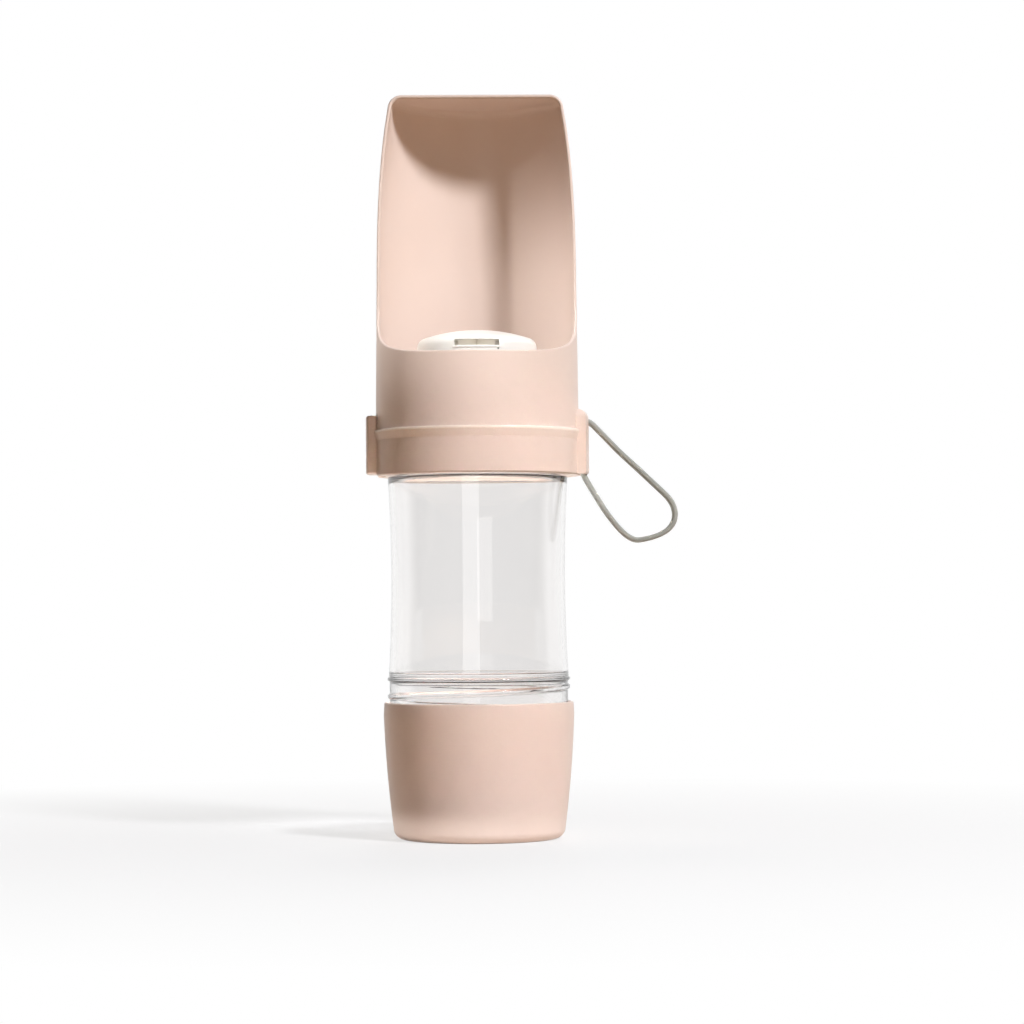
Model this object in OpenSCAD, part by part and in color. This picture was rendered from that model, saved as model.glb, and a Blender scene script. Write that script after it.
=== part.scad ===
// Travel water bottle for a dog: a scoop-shaped drinking trough over a clear bottle, with a food cup below.
// Standing upright on the food cup, with the open side of the trough facing -Y, the valve button at -X
// and the wrist strap at +X. The origin is the middle of the underside.

/* [Food cup] */
// Height of the food cup
cup_h = 49.5; // [42:0.5:60]
// How far the cup stands out beyond the bottle, just under its rim
cup_stand = 1.85; // [1.65:0.05:3.25]
// How much narrower the cup is at its foot than under its rim
cup_taper = 3.4; // [2:0.1:5.5]
// How much the cup's side bulges between foot and rim
cup_bulge = 0.5; // [0:0.1:1]
// Wall of the cup below the gasket ledge
cup_wall = 2.6; // [2.4:0.1:3.4]
// Floor of the cup
cup_floor = 2.6; // [2:0.1:4]
// Radius of the edge round the cup's foot
cup_edge = 4; // [2:0.5:5]
// Width of the flat ring that the cup stands on
foot_ring = 4.2; // [2.5:0.1:8]

/* [Bottle] */
// Height of the clear body, from the bead to the shoulder
bottle_h = 73.3; // [60:0.1:110]
// Radius of the clear body at its ends
bottle_r = 32.75; // [31:0.25:36]
// How far the waist is drawn in
bottle_waist = 1.15; // [0:0.05:2]
// Wall of the clear body
bottle_wall = 1.8; // [1.4:0.1:2.4]
// Threaded stub that shows between the cup and the bead
stub_show = 8.4; // [5:0.1:12]
// Threaded stub that is inside the cup
stub_in = 11.5; // [9:0.5:14]
// Height of the neck above the shoulder
neck_h = 11.8; // [11.4:0.1:13.4]
// How much narrower the neck is than the body
neck_step = 2.35; // [2.15:0.05:3]
// Wall of the neck
neck_wall = 3; // [2.4:0.1:3.6]
// How far the bead above the stub stands out
bead_out = 0.45; // [0.3:0.05:0.6]

/* [Trough] */
// How much narrower the trough's base is than the collar under it
trough_step = 0.5; // [0.3:0.1:0.9]
// Height of the scoop above the trough's floor
scoop_h = 122.3; // [90:0.1:140]
// Depth of the trough behind its front rim
trough_depth = 25.2; // [22:0.1:34]
// Height over which the rim sweeps up from the front to the sides
rim_sweep = 20; // [12:1:30]
// Wall of the trough
trough_wall = 1.2; // [1:0.1:1.8]
// How much narrower the scoop is at its middle than at the base
scoop_taper = 0.6; // [0:0.1:1.5]
// How far the crown draws in up to the top edge
crown_in = 4.3; // [1:0.1:6]
// Height over which the crown draws in
crown_h = 62; // [40:1:62]
// Radius of the top edge
top_edge = 5; // [3:0.5:7]
// Thickness of the trough's floor
floor_t = 3.8; // [3.6:0.1:4.6]
// Thickness of the skirt that screws on the neck
skirt_t = 3.2; // [2.6:0.1:3.4]

/* [Collar] */
// Thickness of the collar ring
collar_t = 3.1; // [2.8:0.1:3.6]
// How far the lip at the top of the collar stands out
collar_lip = 0.7; // [0.3:0.1:1]
// How far the button and the strap lug stand out beyond the trough
lug_stand = 3.6; // [3.4:0.1:6]
// Width of the strap lug
lug_w = 21; // [14:0.5:24]
// Height of the strap lug above the collar
lug_rise = 7.5; // [7:0.1:10]

/* [Button] */
// Width of the push button
button_w = 16; // [12:0.5:18]
// Height of the push button
button_h = 21; // [18:0.5:21.2]
// Thickness of the button's plate
button_t = 4.3; // [3.6:0.1:4.6]
// Travel of the button, and of the valve
travel = 2.5; // [1.5:0.1:2.6]
// Radius of the button's shaft
shaft_r = 2; // [1.8:0.1:2.1]
// Wire of the two springs
wire = 0.5; // [0.4:0.05:0.55]

/* [Valve] */
// Radius of the valve stem
stem_r = 1.8; // [1.5:0.1:2]
// Radius of the opening that the valve closes
seat_r = 6; // [4.5:0.5:6.5]
// Radius of the chamber that the button's nose reaches into
chamber_r = 9; // [8.8:0.1:9.4]
// Height of the turret above the trough's floor
turret_h = 11.2; // [10.8:0.1:14]
// Thickness of the silicone poppet
poppet_t = 2.9; // [2:0.1:4]
// Room for the valve spring above the guide
spring_h = 10; // [8:0.5:11]

/* [Outlet dome] */
// Radius of the outlet dome
dome_r = 21.8; // [20:0.2:24]
// Height of the outlet dome above the trough's floor
dome_h = 35.8; // [35.6:0.1:40]
// Wall of the outlet dome
dome_wall = 1.8; // [1.4:0.1:2.2]
// Width of the outlet slot
slot_w = 16; // [10:0.5:20]
// Height of the outlet slot
slot_h = 2.2; // [1.5:0.1:3]
// Thickness of the filter puck
filter_t = 2.9; // [2:0.1:3]

/* [Strap] */
// Width of the wrist strap
strap_w = 7; // [5:0.5:8]
// Thickness of the wrist strap
strap_t = 1.8; // [1.2:0.1:1.9]

/* [Hidden] */
$fn = 96;

// Clearances
fit = 0.05;      // a shaft in its bore, and pieces pressed together
seat = 0.05;     // two flat faces that rest on each other
play = 0.3;      // pieces that pass each other
screw_gap = 0.6; // room for the threads between the neck and the skirt
past = 5;        // how far a cut runs past the piece it cuts

// Heights of what stands on what
rim_z = cup_h;
bead_z = rim_z + stub_show;
stub_z = rim_z - stub_in;
shoulder_z = bead_z + bottle_h;
neck_z = shoulder_z + neck_h;
gasket_t = 2;
deck_z = neck_z + gasket_t;
floor_z = deck_z + floor_t;
skirt_z = shoulder_z + 0.4;
collar_low = shoulder_z + 0.3;
collar_top = floor_z - 0.9;
bar_top = collar_top + 1.3;
collar_seat = 0.1;
base_z = collar_top + collar_seat;
front_z = floor_z + trough_depth;
top_z = floor_z + scoop_h;
turret_z = floor_z + turret_h;

// Radii of what fits in what
stub_r = bottle_r - 0.35;
stub_wall = 2;
cup_bore = stub_r + 0.95;
cup_r = bottle_r + cup_stand;
cup_foot_r = cup_r - cup_taper;
foot_recess_r = cup_foot_r - cup_edge - foot_ring;
cup_inner = cup_r - cup_wall;
ledge_z = stub_z - gasket_t;
waist_z = bead_z + bottle_h / 2;
neck_r = bottle_r - neck_step;
skirt_in = neck_r + screw_gap;
skirt_out = skirt_in + skirt_t;
collar_in = skirt_out + 0.2;
collar_out = collar_in + collar_t;
trough_r = collar_out - trough_step;
lug_out = trough_r + lug_stand;
way_in = trough_r - 0.1;
way_out = way_in + strap_t + 0.4;
guide_r = chamber_r + 1.6;
guide_t = 2;
turret_r = guide_r + 1.4;
seat_z = deck_z - 4;
chamber_z = seat_z + 3.5;

// The button's line, just above the collar
coil_r = shaft_r + 0.2 + wire;
coil_bore = coil_r + wire / 2 + 0.2;
housing_w = coil_bore + 2;
shaft_z = collar_top + coil_bore + 0.05;
plate_in = lug_out - button_t;
spring_seat = plate_in + button_t - 1.6;
pocket_x = plate_in - travel - play;
pocket_w = button_w + 2 * play;
pocket_top = button_low() + button_h + 0.4;
bush_x = pocket_x - 4.4;
bush_l = 3.5;
clip_t = 0.6;
bore_x = bush_x - bush_l - clip_t - travel - 0.6;
oring_r = 0.4;
oring_x = bore_x - travel - 2;
nose_tip = stem_r + 0.2 + travel;
nose_gap = 0.14;
// The nose and the wing meet on a plane that rises one for one towards the axis
nose_plane = shaft_z + shaft_r + nose_tip;
wing_end = chamber_r - 0.7;
wing_w = 5;
wing_low = chamber_z + travel + 0.3;
wing_top = shaft_z + shaft_r + 1.4;

// The stem's line
poppet_r = seat_r + 2.5;
poppet_top = seat_z - seat;
stem_low = poppet_top - poppet_t - clip_t - 0.7;
cap_t = 1.6;
cap_z = turret_z + spring_h;
stem_top = cap_z + cap_t + 0.8;
cage_r = chamber_r + 1.2;
cage_wall = 1.6;
cage_z = stem_top + 0.8;
filter_z = cage_z + seat;
slot_z = floor_z + dome_h - 7;
dome_z = floor_z + seat;
rib_z = filter_z + filter_t + 0.1;

// The strap's route from inside the lug, out over its bar, round the loop and back in from below,
// counted from the middle of its way through the lug and from the top of the bar
strap_points = [
    [0, -9], [0, -6.2], [0, -3.7], [0, -1.4], [0.4, 0.4], [1.4, 1.5], [2.6, 1.7],
    [3.9, 0.9], [5.6, -0.8], [9, -4.3], [12.8, -8.3], [16.7, -12], [20.6, -15.6], [24.4, -19.2],
    [28.2, -22.8], [31.2, -25.8], [33.1, -28.8], [33.8, -32], [33.2, -35], [31.3, -37.5], [28.8, -39.1],
    [26, -40.2], [22.7, -41], [19.5, -41.3], [16.6, -40], [13.9, -37.6], [11.4, -34.7], [9, -31.5],
    [7.2, -28.8], [5.5, -26], [3.5, -22.7], [1.9, -20], [0.8, -17.8], [0.2, -15.7], [0, -13.2],
    [0, -9.6]];
strap_route = [for (p = strap_points) [(way_in + way_out) / 2 + p[0], bar_top + p[1]]];

pink = [0.95, 0.84, 0.78];
pale = [0.97, 0.96, 0.93];
silicone = [0.85, 0.86, 0.87];
steel = [0.72, 0.73, 0.75];
clear = [0.86, 0.89, 0.91, 0.4];
grey = [0.6, 0.59, 0.55];

function lerp(a, b, t) = a + (b - a) * t;
function button_low() = collar_low + 0.8;

// Points of an arc, from angle a to angle b
function arc(x, y, r, a, b, n = 6) =
    [for (i = [0:n]) [x + r * cos(lerp(a, b, i / n)), y + r * sin(lerp(a, b, i / n))]];

// Outside of the food cup at height z
function cup_out(z) =
    let (t = (z - cup_edge) / (cup_h - 4.5 - cup_edge))
    lerp(cup_foot_r, cup_r, t) + cup_bulge * 4 * t * (1 - t);

// Outside of the clear body at height z
function body_out(z) =
    let (t = (z - waist_z) / (bottle_h / 2))
    bottle_r - bottle_waist * (1 - t * t);

// Outside of the trough and its scoop at height z
function shell_out(z) =
    let (start = top_z - top_edge - crown_h, h = (z - start) / crown_h)
    z < start ? trough_r - scoop_taper * (z - base_z) / (start - base_z)
              : trough_r - scoop_taper - crown_in * (0.7 * pow(h, 2) + 0.3 * pow(h, 4));

module revolve(points) {
    rotate_extrude()
        polygon(points);
}

module tube(out, in, h, z = 0) {
    translate([0, 0, z])
        difference() {
            cylinder(r = out, h = h);
            translate([0, 0, -1])
                cylinder(r = in, h = h + 2);
        }
}

// A rod along X, from x = from to x = to, at the button's height
module rod(r, from, to) {
    translate([from, 0, shaft_z])
        rotate([0, 90, 0])
            cylinder(r = r, h = to - from);
}

// A slab along X with an outline in Y and Z, square below and with rounded corners above
module arch(w, low, top, r, from, to) {
    outline = concat([[-w, low], [w, low]],
        arc(w - r, top - r, r, 0, 90, 8), arc(r - w, top - r, r, 90, 180, 8));
    translate([from, 0, 0])
        rotate([90, 0, 90])
            linear_extrude(to - from)
                polygon(outline);
}

// A slab of width w across Y with an outline in X and Z
module slab(points, w) {
    translate([0, w / 2, 0])
        rotate([90, 0, 0])
            linear_extrude(w)
                polygon(points);
}

// A solid through rings of points, closed at both ends
module sweep(rings) {
    n = len(rings[0]);
    last = len(rings) - 1;
    sides = [for (i = [0:last - 1], j = [0:n - 1])
        let (a = i * n + j, b = i * n + (j + 1) % n)
        each [[a, b, b + n], [a, b + n, a + n]]];
    start = [for (j = [0:n - 1]) n - 1 - j];
    end = [for (j = [0:n - 1]) last * n + j];
    polyhedron([for (ring = rings) each ring], concat([start, end], sides));
}

// A coil spring along Z that fills the length
module coil(r, length, turns) {
    per_turn = 18;
    steps = turns * per_turn;
    rise = length - wire - 2 * seat;
    sweep([for (i = [0:steps])
        let (turn = 360 * i / per_turn, z = seat + wire / 2 + rise * i / steps)
        [for (j = [0:5])
            let (out = r + wire / 2 * cos(60 * j), up = wire / 2 * sin(60 * j))
            [out * cos(turn), out * sin(turn), z - up]]]);
}

// ---------- Food cup ----------

module food_cup() {
    rim = 0.6;
    wide_z = cup_h - 4.5;
    outside = concat(
        [[foot_recess_r, 0]],
        arc(cup_foot_r - cup_edge, cup_edge, cup_edge, -90, 0, 8),
        [for (i = [1:16]) let (z = lerp(cup_edge, wide_z, i / 16)) [cup_out(z), z]],
        arc(cup_r - 0.2 - rim, rim_z - rim, rim, 0, 90, 5));
    inside = concat(
        [[cup_bore, rim_z], [cup_bore, ledge_z], [cup_out(ledge_z) - cup_wall, ledge_z]],
        [for (i = [1:6]) let (z = lerp(ledge_z, cup_floor + 7, i / 6)) [cup_out(z) - cup_wall, z]],
        arc(cup_out(cup_floor + 6) - cup_wall - 6, cup_floor + 6, 6, 0, -90, 8),
        [[0, cup_floor]]);
    recess = [[0, 0.8], [foot_recess_r - 1, 0.8]];
    color(pink)
        revolve(concat(recess, outside, inside));
}

module cup_gasket() {
    color(silicone)
        tube(cup_bore - 0.25, stub_r - stub_wall + 0.2, gasket_t - 2 * seat, ledge_z + seat);
}

// ---------- Bottle ----------

module bottle() {
    neck_in = neck_r - neck_wall;
    floor_top = bead_z + 2.1;
    edge = 0.7;
    side_top = shoulder_z - edge;
    outside = concat(
        [[stub_r - stub_wall, stub_z], [stub_r, stub_z], [stub_r, bead_z - 0.9]],
        arc(bottle_r - 0.4, bead_z, bead_out + 0.4, -75, 75, 6),
        [for (i = [1:18]) let (z = lerp(bead_z + 1.2, side_top, i / 18)) [body_out(z), z]],
        arc(body_out(side_top) - edge, side_top, edge, 8, 90, 5),
        [[neck_r, shoulder_z], [neck_r, neck_z - 0.5], [neck_r - 0.5, neck_z]]);
    inner_top = shoulder_z - 2.2;
    inside = concat(
        [[neck_in + 0.4, neck_z], [neck_in, neck_z - 0.4], [neck_in, shoulder_z + 0.5]],
        [[body_out(inner_top) - bottle_wall - 0.6, shoulder_z - bottle_wall + 0.2]],
        [for (i = [0:10]) let (z = lerp(inner_top, floor_top + 2.4, i / 10)) [body_out(z) - bottle_wall, z]],
        arc(body_out(floor_top + 2) - bottle_wall - 2, floor_top + 2, 2, 0, -90, 5),
        [[0, floor_top], [0, bead_z], [stub_r - stub_wall, bead_z]]);
    color(clear)
        revolve(concat(outside, inside));
}

module neck_gasket() {
    color(silicone)
        tube(neck_r - 0.2, neck_r - neck_wall + 0.4, gasket_t - 2 * seat, neck_z + seat);
}

// ---------- Trough ----------

// The revolved form before the front is cut away
module trough_form() {
    edge_z = top_z - top_edge;
    roof = trough_wall + 0.2;
    inner_edge = top_edge - trough_wall;
    inner_z = top_z - roof - inner_edge;
    side = [for (i = [0:4]) let (z = lerp(base_z, edge_z - crown_h, i / 4)) [shell_out(z), z]];
    crown = [for (i = [1:17]) let (z = lerp(edge_z - crown_h, edge_z, i / 18)) [shell_out(z), z]];
    outside = concat(
        [[skirt_in, skirt_z], [skirt_out, skirt_z], [skirt_out, base_z]],
        side, crown,
        arc(shell_out(edge_z) - top_edge, edge_z, top_edge, 8, 90, 8));
    inner_r = shell_out(inner_z) - trough_wall;
    inside = concat(
        [[0, top_z], [0, top_z - roof]],
        arc(inner_r - inner_edge, inner_z, inner_edge, 90, 8, 6),
        [for (i = [20:-1:1])
            let (z = lerp(floor_z + 3.6, inner_z - 1, i / 20)) [shell_out(z) - trough_wall, z]],
        arc(shell_out(floor_z) - trough_wall - 3, floor_z + 3, 3, 0, -90, 6),
        [[0, floor_z], [0, deck_z], [skirt_in, deck_z]]);
    revolve(concat(outside, inside));
}

// What the open front takes away: a plane through the axis, with an elliptical sweep down to the front rim
module front_cut() {
    reach = shell_out(front_z);
    sweep_points = [for (i = [0:18])
        let (a = 90 * i / 18) [-reach + reach * cos(a), front_z + rim_sweep * (1 - sin(a))]];
    outline = concat(
        [[0, top_z + past]], sweep_points,
        [[-reach - past, front_z], [-reach - past, top_z + past]]);
    rotate([90, 0, 90])
        translate([0, 0, -trough_r - past])
            linear_extrude(2 * (trough_r + past))
                polygon(outline);
}

// Where the button's plate moves, from the collar up into the base
module button_pocket() {
    translate([-lug_out - past, -pocket_w / 2, collar_low - past])
        cube([lug_out + past - pocket_x, pocket_w, pocket_top - collar_low + past]);
}

module trough_shell() {
    color(pink)
        difference() {
            union() {
                difference() {
                    trough_form();
                    front_cut();
                }
                tube(turret_r, chamber_r, turret_z - chamber_z, chamber_z);
                tube(turret_r - 1, seat_r, chamber_z - seat_z, seat_z);
                tube(dome_r - dome_wall - 0.15, dome_r - dome_wall - 1.6, 2.5, floor_z - 0.5);
                intersection() {
                    union() {
                        arch(housing_w, deck_z + 1, shaft_z + housing_w, housing_w - 0.2, -trough_r, -chamber_r - 1);
                        arch(pocket_w / 2 + 2, deck_z + 1, pocket_top + 2, 2, -trough_r, -pocket_x + 2);
                    }
                    translate([0, 0, base_z])
                        cylinder(r = trough_r - 0.5, h = scoop_h);
                }
            }
            translate([0, 0, chamber_z])
                cylinder(r = chamber_r, h = turret_z + 1 - chamber_z);
            translate([0, 0, seat_z - 1])
                cylinder(r = seat_r, h = chamber_z + 2 - seat_z);
            translate([0, 0, turret_z - guide_t])
                cylinder(r = guide_r, h = guide_t + 1);
            button_pocket();
            rod(coil_bore, -lug_out, -bore_x);
            rod(shaft_r + fit, -lug_out, -chamber_r + 1);
        }
}

// ---------- Collar ----------

// The lug stands out round the collar, with a rounded shoulder above and rounded corners at its two sides
module lug_form() {
    shoulder = 3.7;
    corner = 3.5;
    low = collar_low + 0.3;
    top = collar_top + lug_rise;
    profile = concat(
        [[trough_r - 2, low]],
        arc(lug_out - 1, low + 1, 1, -90, 0, 4),
        arc(lug_out - shoulder, top - shoulder, shoulder, 0, 80, 8),
        [[trough_r - 2, top]]);
    intersection() {
        revolve(profile);
        arch(lug_w / 2, low - 1, top, corner, 0, lug_out + past);
    }
}

// The way of the strap through the lug: up from below and out under the shoulder
module strap_way() {
    w = strap_w + 0.8;
    mouth = 0.9;
    outline = concat(
        [[way_in, collar_low - 1], [way_out + mouth, collar_low - 1]],
        [[way_out + mouth, collar_low + 0.6], [way_out, collar_low + 3]],
        arc(way_out + 0.75, bar_top - 0.75, 0.75, 180, 90, 4),
        [[lug_out + 1, bar_top], [lug_out + 1, bar_top + 3]],
        arc(way_in + 3, bar_top, 3, 90, 180, 5));
    slab(outline, w);
}

module collar_ring() {
    lip_h = 1.2;
    color(pink)
        difference() {
            union() {
                revolve(concat(
                    [[collar_in, collar_low], [collar_out - 0.4, collar_low], [collar_out, collar_low + 0.4]],
                    [[collar_out, collar_top - lip_h], [collar_out + collar_lip, collar_top - lip_h + 0.3]],
                    [[collar_out + collar_lip, collar_top - 0.3], [collar_out + collar_lip - 0.3, collar_top]],
                    [[collar_in, collar_top]]));
                difference() {
                    lug_form();
                    translate([0, 0, collar_top])
                        cylinder(r1 = shell_out(base_z) + seat, r2 = shell_out(base_z + lug_rise) + seat,
                            h = lug_rise + base_z - collar_top);
                }
            }
            strap_way();
            button_pocket();
        }
}

// ---------- Push button ----------

module push_button() {
    low = button_low();
    high = low + button_h;
    w = button_w / 2;
    r = 0.8;
    outline = concat(
        arc(w - r, low + r, r, -90, 0, 3), arc(w - r, high - r, r, 0, 90, 3),
        arc(r - w, high - r, r, 90, 180, 3), arc(r - w, low + r, r, 180, 270, 3));
    color(pink)
        difference() {
            union() {
                intersection() {
                    translate([-lug_out - 1, 0, 0])
                        rotate([90, 0, 90])
                            linear_extrude(button_t + 1)
                                polygon(outline);
                    cylinder(r = lug_out, h = top_z);
                }
                difference() {
                    rod(shaft_r, -spring_seat - 0.5, 0);
                    nose_side();
                }
            }
            difference() {
                rod(coil_bore, -spring_seat, -plate_in + 1);
                rod(shaft_r, -spring_seat - 1, -plate_in + 2);
            }
            groove(bush_x - bush_l - clip_t - 0.02, clip_t + 0.04, shaft_r - 0.6);
            groove(oring_x - oring_r - 0.05, 2 * oring_r + 0.1, shaft_r - 2 * oring_r + 0.02);
        }
}

// What the sloping end of the button's nose leaves off: everything above the plane towards the axis
module nose_side() {
    far = chamber_r + past;
    slab([[chamber_z - nose_plane, chamber_z], [far, chamber_z], [far, nose_plane + far]], 4 * shaft_r);
}

// A groove round the shaft, from x = -start - wide to x = -start
module groove(start, wide, r) {
    difference() {
        rod(shaft_r + 1, -start - wide, -start);
        rod(r, -start - wide - 1, -start + 1);
    }
}

module button_spring() {
    color(steel)
        translate([-bush_x, 0, shaft_z])
            rotate([0, -90, 0])
                coil(coil_r, spring_seat - bush_x, 4.5);
}

module button_bush() {
    color(pale)
        difference() {
            rod(coil_bore - 0.02, -bush_x, -bush_x + bush_l);
            rod(shaft_r + fit, -bush_x - 1, -bush_x + bush_l + 1);
        }
}

module button_clip() {
    start = -bush_x + bush_l + seat;
    color(steel)
        difference() {
            rod(coil_bore - 0.25, start, start + clip_t - seat);
            rod(shaft_r - 0.55, start - 1, start + 2);
            // The open side of the clip
            translate([start - 1, -shaft_r + 0.6, shaft_z - 2 * coil_bore])
                cube([3, 2 * shaft_r - 1.2, 2 * coil_bore]);
        }
}

module button_oring() {
    color(silicone)
        translate([-oring_x, 0, shaft_z])
            rotate([0, 90, 0])
                rotate_extrude()
                    translate([shaft_r + fit - oring_r - 0.02, 0])
                        circle(r = oring_r, $fn = 24);
}

// ---------- Valve ----------

module valve_guide() {
    window_w = 9;
    color(pale)
        difference() {
            union() {
                tube(guide_r - fit, stem_r + fit, guide_t - seat, turret_z - guide_t + seat);
                tube(cage_r, cage_r - cage_wall, cage_z - turret_z + 0.5, turret_z - 0.5);
            }
            for (i = [0:5])
                rotate([0, 0, 60 * i + 30])
                    translate([(stem_r + cage_r) / 2 + 0.4, 0, turret_z - guide_t - 1])
                        cylinder(r = 1.5, h = guide_t + 2);
            for (i = [0:3])
                rotate([0, 0, 90 * i + 45])
                    translate([0, -window_w / 2, turret_z + 2])
                        cube([cage_r + 2, window_w, cage_z - turret_z - 4]);
        }
}

// The ramp that the nose pushes down, as a wing on the stem's -X side
module wing() {
    slope = nose_plane - nose_gap * sqrt(2);
    slab([[-wing_end, wing_low], [0, wing_low], [0, wing_top],
        [wing_top - slope, wing_top], [-wing_end, slope - wing_end]], wing_w);
}

module valve_stem() {
    color(pale)
        difference() {
            union() {
                translate([0, 0, stem_low])
                    cylinder(r = stem_r, h = stem_top - stem_low);
                wing();
                tube(seat_r - 1.5, stem_r - 0.5, 1.4, poppet_top + seat);
            }
            tube(stem_r + 1, stem_r - 0.5, clip_t + 0.04, poppet_top - poppet_t - clip_t - 0.04);
        }
}

module valve_poppet() {
    lip = 0.8;
    color(silicone)
        revolve([[stem_r + 0.02, poppet_top - poppet_t], [poppet_r - 2, poppet_top - poppet_t],
            [poppet_r, poppet_top - lip], [poppet_r, poppet_top], [stem_r + 0.02, poppet_top]]);
}

module poppet_clip() {
    z = poppet_top - poppet_t - clip_t;
    color(steel)
        difference() {
            tube(stem_r + 1.6, stem_r - 0.45, clip_t - seat, z);
            translate([-stem_r + 0.5, 0, z - 1])
                cube([2 * stem_r - 1, stem_r + 5, 3]);
        }
}

module valve_spring() {
    color(steel)
        translate([0, 0, turret_z])
            coil(stem_r + 1.4, spring_h, 5.5);
}

module spring_cap() {
    color(pale)
        difference() {
            tube(stem_r + 3, stem_r + 0.02, cap_t, cap_z);
        }
}

// ---------- Outlet dome ----------

module outlet_dome() {
    crown = 61;
    edge = 3.2;
    dome_top = floor_z + dome_h;
    // Where the crown's arc meets the rounded edge
    tilt = asin((dome_r - edge) / (crown - edge));
    edge_z = dome_top - crown + (crown - edge) * cos(tilt);
    in_edge = edge - dome_wall;
    outside = concat(
        [[dome_r, dome_z]],
        arc(dome_r - edge, edge_z, edge, 0, 90 - tilt, 6),
        arc(0, dome_top - crown, crown, 90 - tilt + 2, 90, 8));
    inside = concat(
        arc(0, dome_top - crown, crown - dome_wall, 90, 90 - tilt + 2, 8),
        arc(dome_r - edge, edge_z, in_edge, 90 - tilt, 0, 5),
        [[dome_r - dome_wall, dome_z]]);
    color(pale)
        difference() {
            union() {
                revolve(concat(outside, inside));
                // Ribs that hold the filter down
                intersection() {
                    for (i = [0:2])
                        rotate([0, 0, 60 * i])
                            translate([-dome_r + 1, -0.6, rib_z])
                                cube([2 * dome_r - 2, 1.2, dome_h]);
                    translate([0, 0, dome_top - crown])
                        sphere(r = crown - dome_wall / 2);
                    cylinder(r = dome_r - dome_wall / 2, h = top_z);
                }
            }
            translate([-slot_w / 2, -dome_r - 1, slot_z])
                cube([slot_w, 10, slot_h]);
            arch(housing_w + play, floor_z - 1, shaft_z + housing_w + play, housing_w, -dome_r - 1, -turret_r);
        }
}

module filter_puck() {
    out = dome_r - dome_wall - 0.15;
    color(grey)
        difference() {
            translate([0, 0, filter_z])
                cylinder(r = out, h = filter_t);
            for (ring = [[6, 5], [12, 11], [18, 16]])
                for (i = [1:ring[0]])
                    rotate([0, 0, 360 * i / ring[0]])
                        translate([ring[1], 0, filter_z - 1])
                            cylinder(r = 1.1, h = filter_t + 2, $fn = 24);
        }
}

// ---------- Strap ----------

module wrist_strap() {
    last = len(strap_route) - 1;
    w = strap_w / 2;
    t = strap_t / 2;
    c = 0.4;
    section = [[w, t - c], [w - c, t], [c - w, t], [-w, t - c], [-w, c - t], [c - w, -t], [w - c, -t], [w, c - t]];
    color(grey)
        sweep([for (i = [0:last])
            let (here = strap_route[i],
                ahead = strap_route[min(i + 1, last)] - strap_route[max(i - 1, 0)],
                side = [-ahead[1], ahead[0]] / norm(ahead))
            [for (p = section) [here[0] + side[0] * p[1], p[0], here[1] + side[1] * p[1]]]]);
}

food_cup();
cup_gasket();
bottle();
neck_gasket();
trough_shell();
collar_ring();
push_button();
button_spring();
button_bush();
button_clip();
button_oring();
valve_guide();
valve_stem();
valve_poppet();
poppet_clip();
valve_spring();
spring_cap();
outlet_dome();
filter_puck();
wrist_strap();
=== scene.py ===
import math

import bmesh
import bpy
from mathutils import Matrix, Vector


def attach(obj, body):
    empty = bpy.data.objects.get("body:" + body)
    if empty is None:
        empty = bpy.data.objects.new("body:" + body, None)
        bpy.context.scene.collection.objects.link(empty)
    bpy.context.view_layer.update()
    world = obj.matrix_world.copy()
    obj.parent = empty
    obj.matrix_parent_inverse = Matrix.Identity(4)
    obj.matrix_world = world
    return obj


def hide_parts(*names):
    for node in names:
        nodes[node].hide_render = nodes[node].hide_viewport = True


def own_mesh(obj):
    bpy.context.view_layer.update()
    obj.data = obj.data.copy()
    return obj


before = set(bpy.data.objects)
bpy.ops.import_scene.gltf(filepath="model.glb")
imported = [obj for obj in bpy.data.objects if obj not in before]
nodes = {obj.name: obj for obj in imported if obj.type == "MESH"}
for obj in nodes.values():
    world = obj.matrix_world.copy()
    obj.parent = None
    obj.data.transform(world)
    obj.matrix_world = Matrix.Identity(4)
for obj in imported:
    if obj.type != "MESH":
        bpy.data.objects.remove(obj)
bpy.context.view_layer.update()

scene = bpy.context.scene
mm = 0.001


class Sock:
    # one output of a node; Python's operators on it add Math nodes
    def __init__(self, mat, out):
        self.mat = mat
        self.out = out

    def maths(self, operation, a, b):
        return self.mat.node("ShaderNodeMath", {"operation": operation}, [a, b])

    def __add__(self, other):
        return self.maths("ADD", self, other)

    def __radd__(self, other):
        return self.maths("ADD", other, self)

    def __rsub__(self, other):
        return self.maths("SUBTRACT", other, self)

    def __mul__(self, other):
        return self.maths("MULTIPLY", self, other)

    def __pow__(self, other):
        return self.maths("POWER", self, other)


def most(first, *others):
    for other in others:
        first = first.maths("MAXIMUM", first, other)
    return first


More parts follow.
